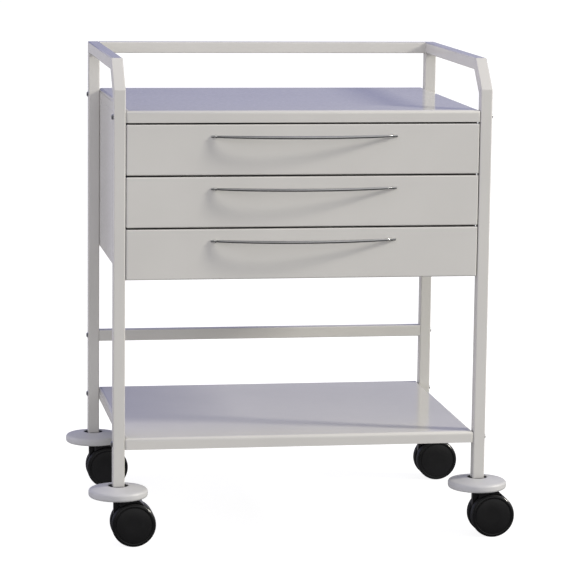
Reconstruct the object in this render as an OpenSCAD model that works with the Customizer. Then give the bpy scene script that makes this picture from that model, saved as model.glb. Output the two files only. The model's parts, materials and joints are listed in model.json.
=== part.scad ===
// Open-frame trolley with three drawers, a top tray, a bottom shelf and four
// twin-wheel swivel casters with round bumper discs.
// +Z is up, the drawers face -Y, +X is to the right. The origin lies on the
// floor, midway between the four legs. All sizes are in millimetres.

/* [Frame] */

// overall width over the two side frames
frame_w = 640; // [600:1:700]
// overall depth over the front and rear legs
frame_d = 470; // [450:1:520]
// height of the top bars above the floor
frame_h = 820; // [800:1:900]
// outer width of the square tube
tube_w = 20; // [18:1:22]
// wall thickness of the square tube
tube_t = 1.5; // [1:0.1:2]
// outside corner radius of the square tube
tube_r = 2; // [1.6:0.1:3]
// length along Y and Z of the sloping corner between front leg and top bar
slope_run = 50; // [45:1:60]
// centre height of the rail between the rear legs
rear_rail_z = 283; // [260:1:330]

/* [Trays] */

// height of the top tray's upper face
tray_z = 736; // [736:1:750]
// height of the bottom shelf's upper face
shelf_z = 185; // [180:1:230]
// depth of the folded edges of the tray and the shelf
lip_h = 20; // [18:1:24]
// sheet metal thickness
sheet_t = 1.5; // [1.2:0.1:2]
// outside bend radius of the folded edges
bend_r = 6; // [4:0.5:6]

/* [Drawers] */

// height of the lower edge of the lowest drawer front
fronts_z = 453.5; // [445:0.5:453.5]
// height of one drawer front
front_h = 84.5; // [82:0.5:85.5]
// gap between neighbouring drawer fronts
front_gap = 3; // [1.5:0.5:3.5]
// thickness of a drawer front
front_t = 18; // [16:1:20]
// edge radius of a drawer front
front_r = 2; // [1:0.5:3]
// depth of a drawer box
box_d = 400; // [360:5:405]
// height of a drawer box
box_h = 66; // [50:1:68]
// opening travel of a drawer, which sets the length of its slides
travel = 380; // [300:5:385]

/* [Handles] */

// length of a bow handle from end to end
handle_l = 316; // [250:2:400]
// distance from a drawer front to the outside of the bow
handle_bow = 30; // [26:1:36]
// diameter of the handle bar
handle_bar = 5.6; // [5:0.2:8]
// distance from the upper edge of a front down to its handle
handle_drop = 20; // [15:1:30]

/* [Casters] */

// wheel diameter
wheel_d = 75; // [70:1:75]
// width of one wheel of a pair
wheel_w = 17; // [15:0.5:20]
// edge radius of a wheel's outer face
wheel_rim_r = 5; // [3:0.5:5]
// distance from the swivel axis to the wheel axis
trail = 25; // [24:0.5:28]
// height of the top of the caster housing
housing_z = 80; // [79:0.5:80]
// diameter of a bumper disc
bumper_d = 100; // [90:1:110]
// height of the lower face of a bumper disc
bumper_z = 84; // [84:1:90]

/* [Hidden] */

$fn = 96;
eps = 0.01;
leg_x = (frame_w - tube_w) / 2;
leg_y = (frame_d - tube_w) / 2;
inner_x = frame_w / 2 - tube_w;
front_y = -frame_d / 2;
rear_y = frame_d / 2;
leg_z0 = bumper_z + 8;
slope_off = tube_w / 2 * (2 - sqrt(2));
slope_z = frame_h - slope_run - tube_w / 2 + slope_off;
slope_y = front_y + slope_run + tube_w / 2 - slope_off;
bar_z = frame_h - tube_w / 2;
pitch = front_h + front_gap;
front_w = 2 * inner_x - 3;
front_back_y = front_y + front_t;
cab_z0 = fronts_z - 3.5;
cab_front_y = front_back_y + 5;
cab_rear_y = rear_y - 2;
wall_x = inner_x - sheet_t;
slide_w = 13;
slide_l = travel + 20;
slide_y0 = cab_front_y + 0.5;
box_x = wall_x - slide_w;
box_t = 1.2;
box_z_off = 9;
slide_z_off = box_z_off + box_h / 2;
handle_rad = (pow(handle_l / 2, 2) + pow(handle_bow, 2)) / (2 * handle_bow);
handle_foot_x = handle_l / 2 - 8;
bolt_r = 3;
bolt_head_r = 5.2;
bolt_drop = 11;
corner_r = max(bend_r - 2, sheet_t + 0.5);
plate_t = 4;
wheel_r = wheel_d / 2;
web_t = 11;
wheel_gap = web_t / 2 + 0.5;
axle_r = 4;
stem_r = 4;
plug_r = 5.5;
neck_r = 8;
collar_r = 16.4;
bumper_h = 14;
bumper_rise = 5;
corners = [[-1, -1], [1, -1], [-1, 1], [1, 1]];

powder = [0.80, 0.79, 0.77];
plastic_grey = [0.82, 0.82, 0.83];
black = [0.08, 0.08, 0.09];
zinc = [0.66, 0.67, 0.69];
chrome = [0.85, 0.86, 0.88];

// ---- flat outlines ----

// rectangle with all four corners rounded, centred on the origin
module round_rect(w, h, r) {
    square([w - 2 * r, h], center = true);
    square([w, h - 2 * r], center = true);
    for (x = [-1, 1], y = [-1, 1])
        translate([x * (w / 2 - r), y * (h / 2 - r)])
            circle(r, $fn = 48);
}

// rectangle from z = z0 to z = z1 with only its two upper corners rounded
module arch_rect(w, z0, z1, r) {
    translate([-w / 2, z0])
        square([w, z1 - z0 - r]);
    translate([-w / 2 + r, z0])
        square([w - 2 * r, z1 - z0]);
    for (x = [-1, 1])
        translate([x * (w / 2 - r), z1 - r])
            circle(r, $fn = 64);
}

// ---- frame ----

// hollow section of the square tube
module tube_section() {
    difference() {
        round_rect(tube_w, tube_w, tube_r);
        round_rect(tube_w - 2 * tube_t, tube_w - 2 * tube_t, tube_r - tube_t + 0.3);
    }
}

// tube in a YZ plane from (y0, z0) to (y1, z1), cut at each end on a plane
// that is turned by cut0 or cut1 degrees from square
module plane_tube(y0, z0, y1, z1, cut0, cut1) {
    run = norm([y1 - y0, z1 - z0]);
    translate([0, y0, z0])
        rotate([atan2(z1 - z0, y1 - y0), 0, 0])
            difference() {
                translate([0, -tube_w, 0])
                    rotate([-90, 0, 0])
                        linear_extrude(run + 2 * tube_w)
                            tube_section();
                rotate([cut0, 0, 0])
                    translate([-tube_w, -3 * tube_w, -2 * tube_w])
                        cube([2 * tube_w, 3 * tube_w, 4 * tube_w]);
                translate([0, run, 0])
                    rotate([cut1, 0, 0])
                        translate([-tube_w, 0, -2 * tube_w])
                            cube([2 * tube_w, 3 * tube_w, 4 * tube_w]);
            }
}

// cross holes through a leg for the frame bolts at the given heights
module leg_bolt_holes(heights) {
    for (z = heights)
        translate([0, 0, z])
            rotate([0, 90, 0])
                cylinder(r = bolt_r + 0.1, h = 2 * tube_w, center = true, $fn = 32);
}

module front_leg(side) {
    color(powder)
        difference() {
            translate([side * leg_x, 0, 0])
                plane_tube(-leg_y, leg_z0, -leg_y, slope_z, 0, -22.5);
            translate([side * leg_x, -leg_y, 0])
                leg_bolt_holes([tray_z - bolt_drop, shelf_z - bolt_drop]);
        }
}

module corner_tube(side) {
    color(powder)
        translate([side * leg_x, 0, 0])
            plane_tube(-leg_y, slope_z, slope_y, bar_z, 22.5, -22.5);
}

module top_bar(side) {
    color(powder)
        translate([side * leg_x, 0, 0])
            plane_tube(slope_y, bar_z, leg_y, bar_z, 22.5, -45);
}

module rear_leg(side) {
    color(powder)
        difference() {
            translate([side * leg_x, 0, 0])
                plane_tube(leg_y, leg_z0, leg_y, bar_z, 0, 45);
            translate([side * leg_x, leg_y, 0])
                leg_bolt_holes([tray_z - bolt_drop, rear_rail_z, shelf_z - bolt_drop]);
        }
}

// straight rail between the rear legs
module cross_rail(z) {
    translate([-inner_x, leg_y, z])
        rotate([90, 0, 90])
            linear_extrude(2 * inner_x)
                tube_section();
}

module rear_top_rail() {
    color(powder)
        cross_rail(bar_z);
}

// the lower rail has an end plate with a bolt hole at each end
module rear_lower_rail() {
    color(powder) {
        cross_rail(rear_rail_z);
        for (side = [-1, 1])
            translate([side * (inner_x - plate_t / 2), leg_y, rear_rail_z])
                rotate([90, 0, 90])
                    difference() {
                        linear_extrude(plate_t, center = true)
                            square(tube_w - 2 * tube_t + 0.2, center = true);
                        cylinder(r = bolt_r + 0.1, h = 10, center = true, $fn = 32);
                    }
    }
}

// ---- tray and shelf ----

// block with rounded upper edges and rounded upright corners
module pan_block(w, d, z0, z1, r, corner) {
    intersection() {
        rotate([90, 0, 0])
            linear_extrude(d + 2, center = true)
                arch_rect(w, z0, z1, r);
        rotate([90, 0, 90])
            linear_extrude(w + 2, center = true)
                arch_rect(d, z0, z1, r);
        translate([0, 0, z0 - 1])
            linear_extrude(z1 - z0 + 2)
                round_rect(w, d, corner);
    }
}

// sheet metal panel with all four edges folded down
module folded_panel(z) {
    difference() {
        pan_block(2 * inner_x, frame_d, z - lip_h, z, bend_r, corner_r);
        translate([0, 0, -sheet_t])
            pan_block(2 * inner_x - 2 * sheet_t, frame_d - 2 * sheet_t,
                z - lip_h - 5, z, bend_r - sheet_t, corner_r - sheet_t);
        for (x = [-1, 1], y = [-1, 1])
            translate([x * inner_x, y * leg_y, z - bolt_drop])
                rotate([0, 90, 0])
                    cylinder(r = bolt_r + 0.1, h = 20, center = true, $fn = 32);
    }
}

module top_tray() {
    color(powder)
        folded_panel(tray_z);
}

module bottom_shelf() {
    color(powder)
        folded_panel(shelf_z);
}

// ---- cabinet ----

module cabinet_side(side) {
    color(powder)
        translate([side > 0 ? wall_x : -inner_x, cab_front_y, cab_z0])
            cube([sheet_t, cab_rear_y - cab_front_y, tray_z - lip_h - cab_z0]);
}

module cabinet_back() {
    color(powder)
        translate([-wall_x, cab_rear_y - sheet_t, cab_z0])
            cube([2 * wall_x, sheet_t, tray_z - lip_h - cab_z0]);
}

// floor of the cabinet with a small upturned lip behind the lowest front
module cabinet_bottom() {
    color(powder) {
        translate([-wall_x, cab_front_y, cab_z0])
            cube([2 * wall_x, cab_rear_y - sheet_t - cab_front_y, sheet_t]);
        translate([-wall_x, cab_front_y, cab_z0])
            cube([2 * wall_x, sheet_t, 8]);
    }
}

// ---- drawer slides ----

// C-shaped rail, open towards +X, its web from x0 and its flanges to x1
module c_rail(x0, x1, half_h, t, y0, l) {
    translate([x0, y0, -half_h])
        cube([t, l, 2 * half_h]);
    for (z = [-half_h, half_h - t])
        translate([x0, y0, z])
            cube([x1 - x0, l, t]);
}

// a rail on each side of drawer i; x is measured inwards from the cabinet wall
module rail_pair(i) {
    z = fronts_z + i * pitch + slide_z_off;
    translate([-wall_x, 0, z])
        children();
    translate([0, 0, z])
        mirror([1, 0, 0])
            translate([-wall_x, 0, 0])
                children();
}

module slide_outer_members() {
    color(zinc)
        for (i = [0:2])
            rail_pair(i)
                c_rail(0, 9, 22.5, 1.2, slide_y0, slide_l);
}

module slide_mid_pair(i) {
    color(zinc)
        rail_pair(i)
            c_rail(2.4, 10.5, 18.6, 1.2, slide_y0, slide_l);
}

// the inner rail faces the other way, its web against the drawer box
module slide_inner_pair(i) {
    color(zinc)
        rail_pair(i)
            translate([slide_w, 0, 0])
                mirror([1, 0, 0])
                    c_rail(0, 7, 14, 1.2, slide_y0, slide_l);
}

// ---- drawers ----

// folded front: a shallow pan, open towards the drawer box behind it
module drawer_front(i) {
    z = fronts_z + i * pitch;
    color(powder)
        difference() {
            translate([0, front_back_y, z + front_h / 2])
                rotate([90, 0, 0])
                    intersection() {
                        linear_extrude(front_t)
                            round_rect(front_w, front_h, front_r);
                        rotate([0, 90, 0])
                            linear_extrude(front_w + 2, center = true)
                                rotate([0, 0, 90])
                                    arch_rect(front_h, -1, front_t, front_r);
                        rotate([90, 0, 0])
                            linear_extrude(front_h + 2, center = true)
                                arch_rect(front_w, -1, front_t, front_r);
                    }
            translate([-front_w / 2 + sheet_t, front_y + sheet_t, z + sheet_t])
                cube([front_w - 2 * sheet_t, front_t, front_h - 2 * sheet_t]);
            handle_screw_holes(z);
        }
}

module handle_screw_holes(z) {
    for (side = [-1, 1])
        translate([side * handle_foot_x, front_y, z + front_h - handle_drop])
            rotate([90, 0, 0])
                cylinder(r = 2, h = 10, center = true, $fn = 32);
}

// open-topped sheet metal box
module drawer_box(i) {
    z = fronts_z + i * pitch + box_z_off;
    color(powder)
        difference() {
            translate([-box_x, front_back_y, z])
                cube([2 * box_x, box_d, box_h]);
            translate([-box_x + box_t, front_back_y + box_t, z + box_t])
                cube([2 * box_x - 2 * box_t, box_d - 2 * box_t, box_h]);
        }
}

// slender bow with a round foot at each end
module drawer_handle(i) {
    z = fronts_z + i * pitch + front_h - handle_drop;
    half_a = asin((handle_l / 2) / handle_rad) + 1;
    bar_r = handle_bar / 2;
    color(chrome)
        difference() {
            union() {
                translate([0, front_y - handle_bow + handle_rad, z])
                    rotate([0, 0, -90 - half_a])
                        rotate_extrude(angle = 2 * half_a, $fn = 360)
                            translate([handle_rad - bar_r, 0])
                                circle(bar_r, $fn = 32);
                for (side = [-1, 1])
                    translate([side * handle_foot_x, front_y, z])
                        rotate([90, 0, 0])
                            cylinder(r = 3.6, h = 4.5, $fn = 32);
            }
            translate([-handle_l, front_y, z - 20])
                cube([2 * handle_l, 40, 40]);
            for (side = [-1, 1])
                translate([side * handle_foot_x, front_y - 3.6, z])
                    rotate([-90, 0, 0])
                        cylinder(r = 2, h = 10, $fn = 32);
        }
}

// screws that hold a handle from inside its drawer front
module handle_screws(i) {
    z = fronts_z + i * pitch + front_h - handle_drop;
    color(zinc)
        for (side = [-1, 1])
            translate([side * handle_foot_x, front_y, z])
                rotate([-90, 0, 0]) {
                    translate([0, 0, -3.4])
                        cylinder(r = 1.9, h = 3.4 + sheet_t + 1, $fn = 32);
                    translate([0, 0, sheet_t])
                        cylinder(r = 3.8, h = 2.4, $fn = 32);
                }
}

// ---- fasteners of the frame ----

// runs its children at the bolts of the tray and the shelf, +X pointing outwards
module at_tray_bolts() {
    for (side = [0, 1])
        mirror([side, 0, 0])
            for (y = [-leg_y, leg_y], z = [tray_z, shelf_z])
                translate([leg_x, y, z - bolt_drop])
                    children();
}

// the same at the two bolts of the lower rail
module at_rail_bolts() {
    for (side = [0, 1])
        mirror([side, 0, 0])
            translate([leg_x, leg_y, rear_rail_z])
                children();
}

// low-headed screw with a hexagon socket
module frame_bolt() {
    rotate([0, 90, 0]) {
        translate([0, 0, -tube_w / 2 - 9.5])
            cylinder(r = bolt_r, h = tube_w + 10, $fn = 32);
        translate([0, 0, tube_w / 2])
            difference() {
                cylinder(r1 = bolt_head_r, r2 = bolt_head_r - 1.8, h = 2.8, $fn = 48);
                translate([0, 0, 1.2])
                    cylinder(r = 2, h = 3, $fn = 6);
            }
    }
}

// nut that bears on a wall the given distance inside the leg
module frame_nut(wall) {
    translate([-tube_w / 2 - wall, 0, 0])
        rotate([0, -90, 0])
            difference() {
                rotate(30)
                    cylinder(r = 5.7, h = 4.6, $fn = 6);
                translate([0, 0, -1])
                    cylinder(r = bolt_r + 0.05, h = 7, $fn = 32);
            }
}

module frame_bolts() {
    color(zinc) {
        at_tray_bolts()
            frame_bolt();
        at_rail_bolts()
            frame_bolt();
    }
}

module frame_nuts() {
    color(zinc) {
        at_tray_bolts()
            frame_nut(sheet_t);
        at_rail_bolts()
            frame_nut(plate_t);
    }
}

// ---- casters ----

// plastic plug in each leg's end, with a round collar the bumper turns on
module leg_sockets() {
    plug_w = tube_w - 2 * tube_t - 0.1;
    color(black)
        for (c = corners)
            translate([c[0] * leg_x, c[1] * leg_y, 0])
                difference() {
                    union() {
                        translate([0, 0, bumper_z - 3])
                            cylinder(r = 19.5, h = 2.7);
                        difference() {
                            translate([0, 0, bumper_z - 3])
                                cylinder(r = collar_r, h = bumper_h + bumper_rise + 2.2);
                            translate([0, 0, leg_z0 + 10])
                                cube([tube_w + 0.1, tube_w + 0.1, 20], center = true);
                        }
                        translate([0, 0, leg_z0 - 1])
                            linear_extrude(36)
                                round_rect(plug_w, plug_w, tube_r);
                    }
                    translate([0, 0, bumper_z - 4])
                        cylinder(r = plug_r, h = 34);
                }
}

// stepped steel pin: the upper end is held in the socket, the housing
// swivels on the lower end
module caster_stems() {
    color(zinc)
        for (c = corners)
            translate([c[0] * leg_x, c[1] * leg_y, 0]) {
                translate([0, 0, bumper_z - 3])
                    cylinder(r = plug_r, h = 32, $fn = 48);
                translate([0, 0, bumper_z - 3.6])
                    cylinder(r = 8, h = 0.6, $fn = 48);
                translate([0, 0, 54])
                    cylinder(r = stem_r, h = bumper_z - 54 - 3, $fn = 48);
            }
}

// domed disc around a leg, free to turn
module bumper(c) {
    z0 = bumper_z;
    rim = bumper_d / 2;
    color(plastic_grey)
        translate([c[0] * leg_x, c[1] * leg_y, 0])
            rotate_extrude($fn = 128) {
                difference() {
                    union() {
                        translate([collar_r + 0.05, z0])
                            square([rim - 4 - collar_r - 0.05, bumper_h - 3]);
                        polygon([
                            [collar_r + 0.05, z0 + bumper_h - 4],
                            [rim - 4, z0 + bumper_h - 4],
                            [rim - 3.2, z0 + bumper_h - 0.08],
                            [collar_r + 3, z0 + bumper_h + bumper_rise],
                            [collar_r + 0.05, z0 + bumper_h + bumper_rise]
                        ]);
                        translate([rim - 4 - eps, z0 + 4])
                            square([4 + eps, bumper_h - 8]);
                        translate([rim - 4, z0 + 4])
                            circle(4, $fn = 48);
                        translate([rim - 4, z0 + bumper_h - 4])
                            circle(4, $fn = 48);
                    }
                    translate([0, z0 - 10])
                        square([collar_r + 0.05, 60]);
                }
            }
}

// runs its children at a caster, with the wheel axis along Y through the origin
module at_wheels(c) {
    translate([c[0] * leg_x + trail, c[1] * leg_y, wheel_r])
        children();
}

// plan view of a housing: wide over the wheels, a round neck at the swivel axis
module hood_plan(w) {
    front = wheel_r - 5;
    rear = -trail + 1;
    translate([-trail, 0])
        circle(neck_r);
    translate([(front + rear) / 2, 0])
        round_rect(front - rear, w, 7);
}

// swivelling body: a web between the wheels with a hood above them
module housing(c) {
    top = housing_z - wheel_r;
    tangent = wheel_r * 0.72;
    hood_w = 2 * (wheel_gap + wheel_w) - 3;
    color(black)
        difference() {
            at_wheels(c) {
                rotate([90, 0, 0])
                    linear_extrude(web_t, center = true) {
                        circle(wheel_r - 5);
                        polygon([
                            [-trail - neck_r, 8],
                            [0, -10],
                            [tangent, tangent - 1],
                            [9, top],
                            [-trail - neck_r, top]
                        ]);
                    }
                intersection() {
                    rotate([90, 0, 0])
                        linear_extrude(hood_w, center = true)
                            difference() {
                                polygon([
                                    [-trail - neck_r, 8],
                                    [-trail - neck_r, top],
                                    [9, top],
                                    [tangent, tangent - 1],
                                    [0, 0]
                                ]);
                                circle(wheel_r + 1.4);
                            }
                    linear_extrude(top)
                        hood_plan(hood_w);
                }
            }
            translate([c[0] * leg_x, c[1] * leg_y, 53])
                cylinder(r = stem_r + 0.05, h = 40, $fn = 48);
            at_wheels(c)
                rotate([90, 0, 0])
                    cylinder(r = axle_r, h = 30, center = true, $fn = 48);
        }
}

module axle(c) {
    color(zinc)
        at_wheels(c)
            rotate([90, 0, 0])
                cylinder(r = axle_r, h = 2 * (wheel_gap + wheel_w) - 9, center = true, $fn = 48);
}

// cup-shaped wheel, hollow towards the web, with a ring groove in its face
module wheel(c, side) {
    w0 = wheel_gap;
    w1 = wheel_gap + wheel_w;
    rim_r = wheel_rim_r;
    edge_r = 1.5;
    color(black)
        at_wheels(c)
            rotate([-90 * side, 0, 0])
                rotate_extrude($fn = 128)
                    difference() {
                        union() {
                            translate([0, w0])
                                square([wheel_r - rim_r, wheel_w]);
                            translate([0, w0])
                                square([wheel_r - edge_r, wheel_w - rim_r]);
                            translate([0, w0 + edge_r])
                                square([wheel_r, wheel_w - edge_r - rim_r]);
                            translate([wheel_r - edge_r, w0 + edge_r])
                                circle(edge_r, $fn = 32);
                            translate([wheel_r - rim_r, w1 - rim_r])
                                circle(rim_r, $fn = 64);
                        }
                        translate([0, w0 - 1])
                            square([axle_r + 0.05, wheel_w - 3]);
                        translate([axle_r + 3.5, w0 - 1])
                            square([wheel_r - 6 - axle_r - 3.5, wheel_w - 6]);
                        translate([wheel_r * 0.81, w1 - 0.8])
                            square([1.2, 2]);
                    }
}

// ---- one module per node ----

module left_front_leg() front_leg(-1);
module left_corner_tube() corner_tube(-1);
module left_top_bar() top_bar(-1);
module left_rear_leg() rear_leg(-1);
module right_front_leg() front_leg(1);
module right_corner_tube() corner_tube(1);
module right_top_bar() top_bar(1);
module right_rear_leg() rear_leg(1);
module cabinet_side_left() cabinet_side(-1);
module cabinet_side_right() cabinet_side(1);

module drawer_low_front() drawer_front(0);
module drawer_low_box() drawer_box(0);
module drawer_low_handle() drawer_handle(0);
module drawer_low_screws() handle_screws(0);
module drawer_low_slides() slide_inner_pair(0);
module slide_low_mid() slide_mid_pair(0);
module drawer_mid_front() drawer_front(1);
module drawer_mid_box() drawer_box(1);
module drawer_mid_handle() drawer_handle(1);
module drawer_mid_screws() handle_screws(1);
module drawer_mid_slides() slide_inner_pair(1);
module slide_mid_mid() slide_mid_pair(1);
module drawer_top_front() drawer_front(2);
module drawer_top_box() drawer_box(2);
module drawer_top_handle() drawer_handle(2);
module drawer_top_screws() handle_screws(2);
module drawer_top_slides() slide_inner_pair(2);
module slide_top_mid() slide_mid_pair(2);

module fl_bumper() bumper(corners[0]);
module fl_housing() housing(corners[0]);
module fl_axle() axle(corners[0]);
module fl_wheel_a() wheel(corners[0], -1);
module fl_wheel_b() wheel(corners[0], 1);
module fr_bumper() bumper(corners[1]);
module fr_housing() housing(corners[1]);
module fr_axle() axle(corners[1]);
module fr_wheel_a() wheel(corners[1], -1);
module fr_wheel_b() wheel(corners[1], 1);
module rl_bumper() bumper(corners[2]);
module rl_housing() housing(corners[2]);
module rl_axle() axle(corners[2]);
module rl_wheel_a() wheel(corners[2], -1);
module rl_wheel_b() wheel(corners[2], 1);
module rr_bumper() bumper(corners[3]);
module rr_housing() housing(corners[3]);
module rr_axle() axle(corners[3]);
module rr_wheel_a() wheel(corners[3], -1);
module rr_wheel_b() wheel(corners[3], 1);

left_front_leg();
left_corner_tube();
left_top_bar();
left_rear_leg();
right_front_leg();
right_corner_tube();
right_top_bar();
right_rear_leg();
rear_top_rail();
rear_lower_rail();
top_tray();
bottom_shelf();
cabinet_side_left();
cabinet_side_right();
cabinet_back();
cabinet_bottom();
slide_outer_members();
frame_bolts();
frame_nuts();
leg_sockets();
caster_stems();
drawer_low_front();
drawer_low_box();
drawer_low_handle();
drawer_low_screws();
drawer_low_slides();
slide_low_mid();
drawer_mid_front();
drawer_mid_box();
drawer_mid_handle();
drawer_mid_screws();
drawer_mid_slides();
slide_mid_mid();
drawer_top_front();
drawer_top_box();
drawer_top_handle();
drawer_top_screws();
drawer_top_slides();
slide_top_mid();
fl_bumper();
fl_housing();
fl_axle();
fl_wheel_a();
fl_wheel_b();
fr_bumper();
fr_housing();
fr_axle();
fr_wheel_a();
fr_wheel_b();
rl_bumper();
rl_housing();
rl_axle();
rl_wheel_a();
rl_wheel_b();
rr_bumper();
rr_housing();
rr_axle();
rr_wheel_a();
rr_wheel_b();
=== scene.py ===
import json
import math

import bmesh
import bpy
from mathutils import Matrix, Vector


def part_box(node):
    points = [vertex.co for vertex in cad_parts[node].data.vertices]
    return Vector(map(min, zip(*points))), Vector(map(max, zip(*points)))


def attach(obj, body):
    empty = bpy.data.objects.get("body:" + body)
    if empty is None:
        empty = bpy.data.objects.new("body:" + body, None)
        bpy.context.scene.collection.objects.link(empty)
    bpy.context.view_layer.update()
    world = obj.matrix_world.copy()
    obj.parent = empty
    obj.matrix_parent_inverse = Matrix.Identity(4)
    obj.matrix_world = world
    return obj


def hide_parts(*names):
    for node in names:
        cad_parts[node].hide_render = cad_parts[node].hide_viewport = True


# Lengths are in metres and angles in degrees, unless a comment says otherwise.
# +Z is up, the drawers open towards -Y, and the origin is on the floor between the legs.

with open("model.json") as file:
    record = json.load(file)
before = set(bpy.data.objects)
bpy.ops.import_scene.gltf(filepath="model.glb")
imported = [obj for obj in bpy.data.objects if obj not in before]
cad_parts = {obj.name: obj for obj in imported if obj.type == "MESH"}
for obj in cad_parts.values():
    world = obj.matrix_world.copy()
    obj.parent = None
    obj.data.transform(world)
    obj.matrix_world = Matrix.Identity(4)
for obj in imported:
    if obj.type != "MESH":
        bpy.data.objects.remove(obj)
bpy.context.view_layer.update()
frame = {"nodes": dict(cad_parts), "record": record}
NODES = frame["nodes"]
CASTERS = ("fl", "fr", "rl", "rr")
LEVELS = ("low", "mid", "top")

# The band that most values of a noise texture fall in
NOISE_BAND = (0.3, 0.7)

FLOOR_RADIUS = 60.0
FLOOR_DROP = 0.0004  # keeps the floor clear of the wheels

KEY_AT, KEY_AIM = (10.08, -3.27, 6.08), (0, 0, 0.45)
KEY_SIZE = (1.3, 2.3)
KEY_WATTS = 1250.0
KEY_COLOUR = (1.0, 0.965, 0.87)

CAMERA_AT = (-0.77967, -4.77285, 1.14827)
CAMERA_YAW, CAMERA_PITCH, CAMERA_ROLL = 0.16449, -0.15318, 0.01222  # radians
FOCAL_PX, PICTURE_PX = 2769.85, 575.0
SENSOR_MM = 36.0
CLIP_START, CLIP_END = 0.1, 200.0

# Rounding of the CAD nodes' sharp edges
TUBE_EDGE, SHEET_EDGE, HOUSING_EDGE = 0.0003, 0.0005, 0.0014
EDGE_FROM = 40  # the least angle that is rounded
WELD_GAP = 0.00001

SCREW_RISE = 0.0016
SLIDE_SCREW_R = 0.0034
BACK_SCREW_R = 0.0036


# ---- node helpers ----

def empty_tree(owner):
    owner.use_nodes = True
    owner.node_tree.nodes.clear()
    return owner.node_tree


def new_material(name):
    mat = bpy.data.materials.new(name)
    tree = empty_tree(mat)
    out = tree.nodes.new("ShaderNodeOutputMaterial")
    bsdf = tree.nodes.new("ShaderNodeBsdfPrincipled")
    tree.links.new(bsdf.outputs[0], out.inputs["Surface"])
    return mat, tree, bsdf


def place(tree, scale=(1, 1, 1)):
    coord = tree.nodes.new("ShaderNodeTexCoord")
    mapping = tree.nodes.new("ShaderNodeMapping")
    mapping.inputs["Scale"].default_value = scale
    tree.links.new(coord.outputs["Object"], mapping.inputs["Vector"])
    return mapping.outputs["Vector"]


def noise(tree, vector, scale, detail, rough):
    n = tree.nodes.new("ShaderNodeTexNoise")
    n.inputs["Scale"].default_value = scale
    n.inputs["Detail"].default_value = detail
    n.inputs["Roughness"].default_value = rough
    tree.links.new(vector, n.inputs["Vector"])
    return n.outputs["Fac"]


def ramp(tree, fac, dark, light):
    r = tree.nodes.new("ShaderNodeValToRGB")
    for stop, position, colour in zip(r.color_ramp.elements, NOISE_BAND, (dark, light)):
        stop.position = position
        stop.color = (*colour, 1.0)
    tree.links.new(fac, r.inputs["Fac"])
    return r.outputs["Color"]


def remap(tree, fac, lo, hi, from_lo=NOISE_BAND[0], from_hi=NOISE_BAND[1]):
    m = tree.nodes.new("ShaderNodeMapRange")
    m.inputs["From Min"].default_value = from_lo
    m.inputs["From Max"].default_value = from_hi
    m.inputs["To Min"].default_value = lo
    m.inputs["To Max"].default_value = hi
    tree.links.new(fac, m.inputs["Value"])
    return m.outputs["Result"]


def bump(tree, height, strength, distance, under=None):
    b = tree.nodes.new("ShaderNodeBump")
    b.inputs["Strength"].default_value = strength
    b.inputs["Distance"].default_value = distance
    tree.links.new(height, b.inputs["Height"])
    if under is not None:
        tree.links.new(under, b.inputs["Normal"])
    return b.outputs["Normal"]


def connect(tree, bsdf, colour, rough, normal):
    tree.links.new(colour, bsdf.inputs["Base Color"])
    tree.links.new(rough, bsdf.inputs["Roughness"])
    tree.links.new(normal, bsdf.inputs["Normal"])


def add_shaders(tree, first, second):
    add = tree.nodes.new("ShaderNodeAddShader")
    tree.links.new(first, add.inputs[0])
    tree.links.new(second, add.inputs[1])
    return add.outputs[0]


def mix_shaders(tree, fac, off, on):
    """The shader off where fac is 0, and on where it is 1."""
    mix = tree.nodes.new("ShaderNodeMixShader")
    tree.links.new(fac, mix.inputs["Fac"])
    tree.links.new(off, mix.inputs[1])
    tree.links.new(on, mix.inputs[2])
    return mix.outputs[0]


# ---- materials ----

def powder_coat():
    """Warm light grey satin coat, with a faint waviness under its orange peel."""
    mat, tree, bsdf = new_material("powder_coat")
    base = (0.625, 0.615, 0.590)
    dark, light = (tuple(c * share for c in base) for share in (0.972, 1.022))
    v = place(tree)
    cloud = noise(tree, v, 6.0, 3.0, 0.55)
    speck = noise(tree, v, 160.0, 3.0, 0.6)
    peel = noise(tree, v, 620.0, 1.5, 0.45)
    wave = noise(tree, v, 34.0, 1.0, 0.4)
    waves = bump(tree, wave, strength=0.04, distance=0.0004)
    connect(tree, bsdf,
            colour=ramp(tree, cloud, dark, light),
            rough=remap(tree, speck, 0.10, 0.16),
            normal=bump(tree, peel, strength=0.06, distance=0.00015, under=waves))
    bsdf.inputs["IOR"].default_value = 1.48
    return mat


def chrome():
    """Polished plate with a slight haze."""
    mat, tree, bsdf = new_material("chrome_plate")
    bsdf.inputs["Metallic"].default_value = 1.0
    haze = noise(tree, place(tree), 90.0, 3.0, 0.6)
    fine = noise(tree, place(tree, (1, 6, 6)), 700.0, 2.0, 0.5)
    connect(tree, bsdf,
            colour=ramp(tree, haze, (0.83, 0.83, 0.82), (0.90, 0.90, 0.89)),
            rough=remap(tree, haze, 0.05, 0.11),
            normal=bump(tree, fine, strength=0.05, distance=0.0001))
    return mat


def zinc():
    """Bright zinc plating over steel drawn along Y."""
    mat, tree, bsdf = new_material("zinc_steel")
    bsdf.inputs["Metallic"].default_value = 1.0
    spangle = noise(tree, place(tree), 120.0, 4.0, 0.6)
    drawn = noise(tree, place(tree, (40, 1, 40)), 60.0, 2.0, 0.6)
    connect(tree, bsdf,
            colour=ramp(tree, spangle, (0.50, 0.51, 0.53), (0.66, 0.67, 0.69)),
            rough=remap(tree, drawn, 0.24, 0.42),
            normal=bump(tree, drawn, strength=0.12, distance=0.0001))
    return mat


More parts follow.
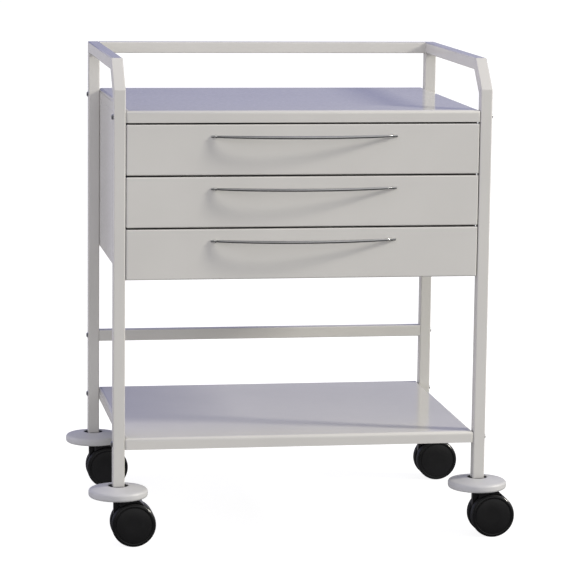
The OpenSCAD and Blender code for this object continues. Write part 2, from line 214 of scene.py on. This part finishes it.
def grey_plastic():
    """Light grey moulded plastic with a fine grain."""
    mat, tree, bsdf = new_material("bumper_plastic")
    v = place(tree)
    cloud = noise(tree, v, 18.0, 3.0, 0.6)
    fine = noise(tree, v, 900.0, 2.0, 0.5)
    connect(tree, bsdf,
            colour=ramp(tree, cloud, (0.520, 0.520, 0.530), (0.560, 0.560, 0.570)),
            rough=remap(tree, fine, 0.36, 0.50),
            normal=bump(tree, fine, strength=0.14, distance=0.00015))
    return mat


def black_plastic(name, lo, hi, rough, grain=800.0, depth=0.1, specular=0.5):
    """Black plastic or rubber, from lo to hi in brightness, with a slight blue tint."""
    mat, tree, bsdf = new_material(name)
    dark, light = ((level, level, level * 1.05) for level in (lo, hi))
    v = place(tree)
    cloud = noise(tree, v, 40.0, 3.0, 0.6)
    fine = noise(tree, v, grain, 2.0, 0.5)
    connect(tree, bsdf,
            colour=ramp(tree, cloud, dark, light),
            rough=remap(tree, fine, rough - 0.05, rough + 0.07),
            normal=bump(tree, fine, strength=depth, distance=0.00015))
    bsdf.inputs["Specular IOR Level"].default_value = specular
    return mat


POWDER = powder_coat()
CHROME = chrome()
ZINC = zinc()
BUMPER = grey_plastic()
SOCKET = black_plastic("socket_plastic", 0.004, 0.006, rough=0.72, specular=0.2)
HOOD = black_plastic("housing_plastic", 0.008, 0.013, rough=0.22, grain=500.0, depth=0.05)
WHEEL = black_plastic("wheel_plastic", 0.007, 0.010, rough=0.34)
RIM = black_plastic("wheel_rim_gloss", 0.007, 0.010, rough=0.17, grain=900.0, depth=0.01)
TREAD = black_plastic("tread_rubber", 0.012, 0.020, rough=0.55, grain=500.0, depth=0.2)
BY_SLOT = {
    "powder_coat": POWDER,
    "chrome": CHROME,
    "zinc_steel": ZINC,
    "bumper_plastic": BUMPER,
    "socket_plastic": SOCKET,
    "housing_plastic": HOOD,
    "wheel_plastic": WHEEL,
}


# ---- CAD nodes that stay ----

for part in frame["record"]["subparts"]:
    obj = NODES[part["node"]]
    obj.data.materials.clear()
    obj.data.materials.append(BY_SLOT[part["material_slot"]])


def soften(node, width, segments=2):
    """Small rounding on the sharp edges of a CAD node."""
    obj = NODES[node]
    weld = obj.modifiers.new("weld", "WELD")
    weld.merge_threshold = WELD_GAP
    bevel = obj.modifiers.new("edge", "BEVEL")
    bevel.width = width
    bevel.segments = segments
    bevel.limit_method = "ANGLE"
    bevel.angle_limit = math.radians(EDGE_FROM)


# ---- building new pieces ----

def add_object(name, data):
    obj = bpy.data.objects.new(name, data)
    bpy.context.scene.collection.objects.link(obj)
    return obj


def make(name, bm, mats, body, smooth=35.0, replaces=()):
    """Object from bm that rides on body; edges sharper than smooth stay crisp."""
    bm.normal_update()
    mesh = bpy.data.meshes.new(name)
    bm.to_mesh(mesh)
    bm.free()
    for m in mats:
        mesh.materials.append(m)
    obj = add_object(name, mesh)
    mesh.polygons.foreach_set("use_smooth", [True] * len(mesh.polygons))
    mesh.set_sharp_from_angle(angle=math.radians(smooth))
    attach(obj, body)
    if replaces:
        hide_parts(*replaces)


def bridge(bm, a, b):
    """Band of faces between two closed loops with the same number of points."""
    n = len(a)
    return [bm.faces.new((a[k], a[(k + 1) % n], b[(k + 1) % n], b[k])) for k in range(n)]


def revolve(profile, steps, centre, axis, mat_of=None):
    """Closed ring of (radius, height) points turned about an axis through centre."""
    bm = bmesh.new()
    rings = []
    for i in range(steps):
        a = 2 * math.pi * i / steps
        ring = []
        for r, h in profile:
            if axis == "Z":
                p = Vector((r * math.cos(a), r * math.sin(a), h))
            else:
                p = Vector((r * math.cos(a), h, r * math.sin(a)))
            ring.append(bm.verts.new(centre + p))
        rings.append(ring)
    n = len(profile)
    for i in range(steps):
        a, b = rings[i], rings[(i + 1) % steps]
        for k in range(n):
            m = (k + 1) % n
            f = bm.faces.new((a[k], a[m], b[m], b[k]))
            if mat_of:
                f.material_index = mat_of(profile[k], profile[m])
    bmesh.ops.remove_doubles(bm, verts=bm.verts, dist=1e-7)
    bmesh.ops.recalc_face_normals(bm, faces=bm.faces)
    return bm


def arc(cx, cy, r, a0, a1, steps):
    return [(cx + r * math.cos(math.radians(a0 + (a1 - a0) * i / steps)),
             cy + r * math.sin(math.radians(a0 + (a1 - a0) * i / steps)))
            for i in range(steps + 1)]


def rounded_loop(x0, x1, y0, y1, r, z, steps=5):
    """Points of a rectangle with rounded corners, anticlockwise, at height z."""
    pts = []
    for cx, cy, a in ((x1 - r, y0 + r, -90), (x1 - r, y1 - r, 0),
                      (x0 + r, y1 - r, 90), (x0 + r, y0 + r, 180)):
        pts += [(x, y, z) for x, y in arc(cx, cy, r, a, a + 90, steps)]
    return pts


def add_screw(bm, centre, normal, radius, mat, steps=20):
    """Low domed screw head on a wall, with a socket in its crown and a closed back."""
    side = Vector((0, 1, 0)) if abs(normal.y) < 0.5 else Vector((1, 0, 0))
    other = normal.cross(side)
    # shares of the head's radius and rise, from the wall over the crown to the socket's floor
    profile = ((1.0, 0.0), (1.0, 0.3), (0.86, 0.72), (0.5, 1.0), (0.42, 0.98), (0.36, 0.45))
    rings = []
    for r, h in profile:
        ring = []
        for k in range(steps):
            b = 2 * math.pi * k / steps
            p = side * (math.cos(b) * radius * r) + other * (math.sin(b) * radius * r)
            ring.append(bm.verts.new(centre + p + normal * (SCREW_RISE * h)))
        rings.append(ring)
    faces = []
    for a, b in zip(rings, rings[1:]):
        faces += bridge(bm, a, b)
    faces.append(bm.faces.new(rings[-1]))
    faces.append(bm.faces.new(list(reversed(rings[0]))))
    for f in faces:
        f.material_index = mat


# ---- floor, light, camera ----

def build_stage():
    """Pale floor: white with a faint shadow for the camera, a plain soft glow for other rays."""
    bm = bmesh.new()
    bmesh.ops.create_circle(bm, cap_ends=True, radius=FLOOR_RADIUS, segments=96)
    mesh = bpy.data.meshes.new("floor")
    bm.to_mesh(mesh)
    bm.free()
    floor = add_object("floor", mesh)
    floor.location = (0, 0, -FLOOR_DROP)
    mat = bpy.data.materials.new("floor_white")
    tree = empty_tree(mat)
    out = tree.nodes.new("ShaderNodeOutputMaterial")
    path = tree.nodes.new("ShaderNodeLightPath")
    diff = tree.nodes.new("ShaderNodeBsdfDiffuse")
    diff.inputs["Color"].default_value = (0.30, 0.30, 0.30, 1)
    # what the camera sees, what lights the object, and what it mirrors
    seen, glow, dim = (tree.nodes.new("ShaderNodeEmission") for _ in range(3))
    seen.inputs["Color"].default_value = (1, 1, 1, 1)
    seen.inputs["Strength"].default_value = 0.88
    glow.inputs["Color"].default_value = (1, 0.99, 0.97, 1)
    glow.inputs["Strength"].default_value = 0.40
    dim.inputs["Color"].default_value = (0.94, 0.92, 1, 1)
    split = tree.nodes.new("ShaderNodeSeparateXYZ")
    tree.links.new(place(tree), split.inputs[0])
    # from dark in front of the trolley to bright behind it
    tree.links.new(remap(tree, split.outputs["Y"], 0.05, 0.52, from_lo=-0.2, from_hi=1.2),
                   dim.inputs["Strength"])
    other_rays = mix_shaders(tree, path.outputs["Is Glossy Ray"], glow.outputs[0], dim.outputs[0])
    for_camera = add_shaders(tree, diff.outputs[0], seen.outputs[0])
    surface = mix_shaders(tree, path.outputs["Is Camera Ray"], other_rays, for_camera)
    tree.links.new(surface, out.inputs["Surface"])
    mesh.materials.append(mat)


def sky(tree, split, lobes):
    """Sum of soft lobes, one for each axis direction: its colour, and the cosine it starts from."""
    total = None
    for axis, sign, colour, start in lobes:
        lobe = tree.nodes.new("ShaderNodeBackground")
        lobe.inputs["Color"].default_value = (*colour, 1)
        reach = remap(tree, split.outputs[axis], 0.0, 1.0, sign * start, float(sign))
        tree.links.new(reach, lobe.inputs["Strength"])
        if total is None:
            total = lobe.outputs[0]
        else:
            total = add_shaders(tree, total, lobe.outputs[0])
    return total


def build_world():
    """White for the camera, and separate soft skies for diffuse and mirrored rays."""
    world = bpy.data.worlds.new("studio")
    bpy.context.scene.world = world
    tree = empty_tree(world)
    out = tree.nodes.new("ShaderNodeOutputWorld")
    seen = tree.nodes.new("ShaderNodeBackground")
    seen.inputs["Color"].default_value = (1, 1, 1, 1)
    path = tree.nodes.new("ShaderNodeLightPath")
    coord = tree.nodes.new("ShaderNodeTexCoord")
    split = tree.nodes.new("ShaderNodeSeparateXYZ")
    tree.links.new(coord.outputs["Generated"], split.inputs[0])
    soft = sky(tree, split, [
        ("Y", -1, (0.93, 0.93, 0.92), 0.0),
        ("X", -1, (1.15, 1.11, 1.28), 0.0),
        ("X", 1, (0.25, 0.25, 0.25), 0.0),
        ("Y", 1, (0.40, 0.40, 0.46), 0.0),
        ("Z", 1, (0.00, 0.00, 0.05), 0.0),
    ])
    mirrored = sky(tree, split, [
        ("Y", -1, (0.42, 0.42, 0.42), 0.62),
        ("X", -1, (0.03, 0.03, 0.03), 0.0),
        ("X", 1, (0.45, 0.45, 0.45), 0.0),
        ("Y", 1, (0.145, 0.16, 0.355), 0.0),
        ("Z", 1, (0.20, 0.20, 0.21), 0.0),
    ])
    other_rays = mix_shaders(tree, path.outputs["Is Glossy Ray"], soft, mirrored)
    surface = mix_shaders(tree, path.outputs["Is Camera Ray"], other_rays, seen.outputs[0])
    tree.links.new(surface, out.inputs["Surface"])


def build_key_light():
    data = bpy.data.lights.new("key", "AREA")
    data.shape = "RECTANGLE"
    data.size, data.size_y = KEY_SIZE
    data.energy = KEY_WATTS
    data.color = KEY_COLOUR
    key = add_object("key", data)
    key.location = KEY_AT
    key.rotation_mode = "QUATERNION"
    key.rotation_quaternion = (Vector(KEY_AIM) - Vector(KEY_AT)).to_track_quat("-Z", "Y")


def build_camera():
    data = bpy.data.cameras.new("camera")
    cam = add_object("camera", data)
    data.sensor_width = SENSOR_MM
    data.lens = SENSOR_MM * FOCAL_PX / PICTURE_PX
    data.clip_start, data.clip_end = CLIP_START, CLIP_END
    yaw, pitch, roll = CAMERA_YAW, CAMERA_PITCH, CAMERA_ROLL
    forward = Vector((math.sin(yaw) * math.cos(pitch), math.cos(yaw) * math.cos(pitch),
                      math.sin(pitch)))
    right = Vector((math.cos(yaw), -math.sin(yaw), 0.0))
    up = right.cross(forward)
    right, up = (math.cos(roll) * right + math.sin(roll) * up,
                 -math.sin(roll) * right + math.cos(roll) * up)
    turn = Matrix((right, up, -forward)).transposed()
    cam.matrix_world = Matrix.Translation(CAMERA_AT) @ turn.to_4x4()
    bpy.context.scene.camera = cam


# ---- pieces ----

def build_handle(level):
    """Slender chrome bow that thins and turns in at its ends, and lands on two small feet."""
    node = f"drawer_{level}_handle"
    body = f"drawer_{level}"
    lo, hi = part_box(node)
    front_y = hi.y
    half, depth = (hi.x - lo.x) / 2, front_y - lo.y
    z = (lo.z + hi.z) / 2
    end_ry, end_rz = 0.0017, 0.0021  # half thickness at the ends
    more_ry, more_rz = 0.0010, 0.0009  # what the middle adds to it
    turn_in = 0.0028  # how far the ends turn in towards the front
    turn_from = 0.86  # share of the half length where that starts
    front_gap = 0.0004
    bow = depth - turn_in
    radius = (half * half + bow * bow) / (2 * bow)
    centre_y = front_y - depth + radius
    end_a = math.asin(half / radius)
    steps, around = 72, 20
    bm = bmesh.new()
    rings = []
    for i in range(steps + 1):
        t = -1 + 2 * i / steps
        a = t * end_a
        fade = 1 - abs(t) ** 5
        ry = end_ry + more_ry * fade
        rz = end_rz + more_rz * fade
        r = radius - end_ry - more_ry
        c = Vector((r * math.sin(a), centre_y - r * math.cos(a), z))
        c.y += turn_in * max(0.0, (abs(t) - turn_from) / (1 - turn_from)) ** 2
        c.y = min(c.y, front_y - front_gap)
        out = Vector((math.sin(a), -math.cos(a), 0))
        ring = []
        for k in range(around):
            b = 2 * math.pi * k / around
            p = c + out * (ry * math.cos(b)) + Vector((0, 0, rz * math.sin(b)))
            ring.append(bm.verts.new(p))
        rings.append(ring)
    for a, b in zip(rings, rings[1:]):
        bridge(bm, a, b)
    bm.faces.new(list(reversed(rings[0])))
    bm.faces.new(rings[-1])
    bmesh.ops.recalc_face_normals(bm, faces=bm.faces)
    make(node + "_bow", bm, [CHROME], body, smooth=50, replaces=[node])
    # (radius, distance from the drawer front)
    foot = [(0.0, 0.0), (0.0035, 0.0), (0.0036, 0.0004), (0.0034, 0.0008),
            (0.0027, 0.0022), (0.0024, 0.0040), (0.0020, 0.0052), (0.0, 0.0056)]
    foot_inset = 0.008
    for side, mark in ((-1, "l"), (1, "r")):
        centre = Vector((side * (half - foot_inset), front_y, z))
        bm = revolve([(r, -h) for r, h in foot], 32, centre, "Y")
        make(f"{node}_foot_{mark}", bm, [CHROME], body, smooth=50)


def build_bumper(key):
    """Disc with a round rim and a low cone up to its collar."""
    node = key + "_bumper"
    lo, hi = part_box(node)
    centre = Vector(((lo.x + hi.x) / 2, (lo.y + hi.y) / 2, 0))
    rim = (hi.x - lo.x) / 2
    z0, z1 = lo.z, hi.z
    bore = 0.01645
    shoulder = 0.0400  # radius where the rim gives way to the cone
    side_top = z0 + 0.0140
    under_r, over_r, collar_r = 0.0045, 0.0050, 0.0010
    # (radius, height), from the bore out along the underside and back over the top
    prof = [(bore, z0 + 0.0015), (0.0180, z0), (shoulder, z0)]
    prof += arc(rim - under_r, z0 + under_r, under_r, -90, 0, 6)
    prof += arc(rim - over_r, side_top - over_r, over_r, 0, 72, 7)
    prof += [(shoulder, side_top + 0.0012), (0.0300, side_top + 0.0033),
             (0.0220, z1 - 0.0002), (0.0185, z1)]
    prof += arc(0.0180, z1 - collar_r, collar_r, 90, 180, 3)
    prof += [(bore, z1 - 0.0030)]
    bm = revolve(prof, 128, centre, "Z")
    make(node + "_disc", bm, [BUMPER], "bumper_" + key,
         smooth=40, replaces=[node])


def build_wheel(key, which):
    """One wheel: face with a ring groove, glossy rounded rim, tread, and a hollow inner side."""
    node = f"{key}_wheel_{which}"
    lo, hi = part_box(node)
    centre = Vector(((lo.x + hi.x) / 2, 0, (lo.z + hi.z) / 2))
    rad = (hi.z - lo.z) / 2
    side = -1 if which == "a" else 1
    inner = hi.y if side < 0 else lo.y
    outer = lo.y if side < 0 else hi.y
    w = abs(outer - inner)
    rim = 0.0050
    # (radius, distance from the inner side), from the middle of the outer face, round the
    # tread and the inner side, to the bottom of the axle's hole
    prof = [(0.0, w - 0.0004), (rad * 0.30, w - 0.0003), (rad * 0.78, w - 0.0002)]
    # ring groove
    prof += [(rad * 0.795, w - 0.0004), (rad * 0.805, w - 0.0014),
             (rad * 0.835, w - 0.0014), (rad * 0.845, w - 0.0003)]
    # rim and tread
    prof += arc(rad - rim, w - rim, rim, 90, 0, 10)
    prof += [(rad, w * 0.5), (rad, 0.0030), (rad - 0.0005, 0.0012),
             (rad - 0.0016, 0.0003), (rad - 0.0034, 0.0)]
    # hollow, hub and the blind hole for the axle
    prof += [(rad - 0.0070, 0.0004), (rad - 0.0080, w - 0.0065),
             (0.0095, w - 0.0060), (0.0088, 0.0010), (0.0080, 0.0), (0.0052, 0.0),
             (0.00415, 0.0008), (0.00405, w - 0.0040), (0.0, w - 0.0040)]
    pts = [(r, inner + side * d) for r, d in prof]
    tread_from = rad - 0.0015
    gloss_from = rad * 0.84

    def mat_of(a, b):
        """0 for the face and inner side, 1 for the tread, 2 for the glossy rim."""
        nearest = min(a[0], b[0])
        if nearest > tread_from:
            return 1
        on_outer_half = min(side * (a[1] - inner), side * (b[1] - inner)) > w * 0.5
        return 2 if on_outer_half and nearest > gloss_from else 0

    bm = revolve(pts, 112, centre, "Y", mat_of)
    make(node + "_tyre", bm, [WHEEL, TREAD, RIM], f"wheel_{key}_{which}",
         smooth=32, replaces=[node])


def build_drawer_box(level):
    """Folded sheet box: rounded corners, a hem round the top, a raised floor pad, slide screws."""
    node = f"drawer_{level}_box"
    lo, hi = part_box(node)
    sheet, hem_t, hem_h = 0.0012, 0.0024, 0.0085
    corner, inner_corner = 0.0026, 0.0014
    outline = (lo.x, hi.x, lo.y, hi.y)
    pad = (lo.x + 0.045, hi.x - 0.045, lo.y + 0.030, hi.y - 0.030)
    bm = bmesh.new()

    def loop(edges, inset, z, r):
        x0, x1, y0, y1 = edges
        pts = rounded_loop(x0 + inset, x1 - inset, y0 + inset, y1 - inset, r, z)
        return [bm.verts.new(p) for p in pts]

    # (inset from the outside, height, corner radius), up the outside, over the hem and down
    # inside; the hem's underside goes straight back to the wall
    rows = [loop(outline, *row) for row in (
        (0.0018, lo.z, 0.0020),
        (0.0006, lo.z + 0.0005, 0.0024),
        (0.0, lo.z + 0.0018, corner),
        (0.0, hi.z - hem_h, corner),
        (0.0, hi.z - 0.0012, corner),
        (0.0004, hi.z - 0.0003, 0.0024),
        (hem_t * 0.5, hi.z, 0.0020),
        (hem_t - 0.0004, hi.z - 0.0003, 0.0016),
        (hem_t, hi.z - 0.0012, inner_corner),
        (hem_t, hi.z - hem_h + 0.0003, inner_corner),
        (hem_t - 0.0003, hi.z - hem_h, inner_corner),
        (sheet + 0.00005, hi.z - hem_h, inner_corner),
        (sheet, lo.z + sheet + 0.0020, inner_corner),
        (sheet + 0.0006, lo.z + sheet + 0.0006, inner_corner),
        (sheet + 0.0020, lo.z + sheet, 0.0010),
    )]
    for a, b in zip(rows, rows[1:]):
        bridge(bm, a, b)
    bm.faces.new(list(reversed(rows[0])))
    # a shallow pad pressed up into the floor: (inset, rise, corner radius)
    last = rows[-1]
    for inset, rise, r in ((0.0, 0.0, 0.006), (0.0015, 0.0005, 0.005), (0.0030, 0.0007, 0.004)):
        step = loop(pad, inset, lo.z + sheet + rise, r)
        bridge(bm, last, step)
        last = step
    bm.faces.new(last)
    bmesh.ops.recalc_face_normals(bm, faces=bm.faces)
    screw_z = (lo.z + hi.z) / 2
    for y in (lo.y + 0.045, (lo.y + hi.y) / 2, hi.y - 0.060):
        for x, way in ((lo.x + sheet, 1), (hi.x - sheet, -1)):
            add_screw(bm, Vector((x, y, screw_z)), Vector((way, 0, 0)), SLIDE_SCREW_R, mat=1)
    make(node + "_shell", bm, [POWDER, ZINC], f"drawer_{level}", replaces=[node])


def build_back_screws():
    """Low screw heads round the edge of the cabinet's back panel."""
    lo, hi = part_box("cabinet_back")
    edge = 0.012
    wide, high = hi.x - lo.x - 2 * edge, hi.z - lo.z - 2 * edge
    spots = [(x, lo.z + edge + high * k / 2)
             for x in (lo.x + edge, hi.x - edge) for k in range(3)]
    spots += [(lo.x + edge + wide * k / 4, z)
              for k in (1, 2, 3) for z in (lo.z + edge, hi.z - edge)]
    bm = bmesh.new()
    for x, z in spots:
        add_screw(bm, Vector((x, hi.y, z)), Vector((0, 1, 0)), BACK_SCREW_R, mat=0)
    make("cabinet_back_screws", bm, [ZINC], "frame")


build_back_screws()
for level in LEVELS:
    build_handle(level)
    build_drawer_box(level)
    soften(f"drawer_{level}_slides", SHEET_EDGE)
    soften(f"slide_{level}_mid", SHEET_EDGE)
for key in CASTERS:
    build_bumper(key)
    build_wheel(key, "a")
    build_wheel(key, "b")
    soften(key + "_housing", HOUSING_EDGE, segments=3)
for hand in ("left", "right"):
    for piece in ("front_leg", "corner_tube", "top_bar", "rear_leg"):
        soften(f"{hand}_{piece}", TUBE_EDGE)
soften("cabinet_bottom", TUBE_EDGE)
for node in ("slide_outer_members", "top_tray", "bottom_shelf", "cabinet_side_left",
             "cabinet_side_right", "cabinet_back"):
    soften(node, SHEET_EDGE)

build_stage()
build_world()
build_key_light()
build_camera()
scene = bpy.context.scene
scene.view_settings.view_transform = "Standard"
scene.view_settings.look = "None"
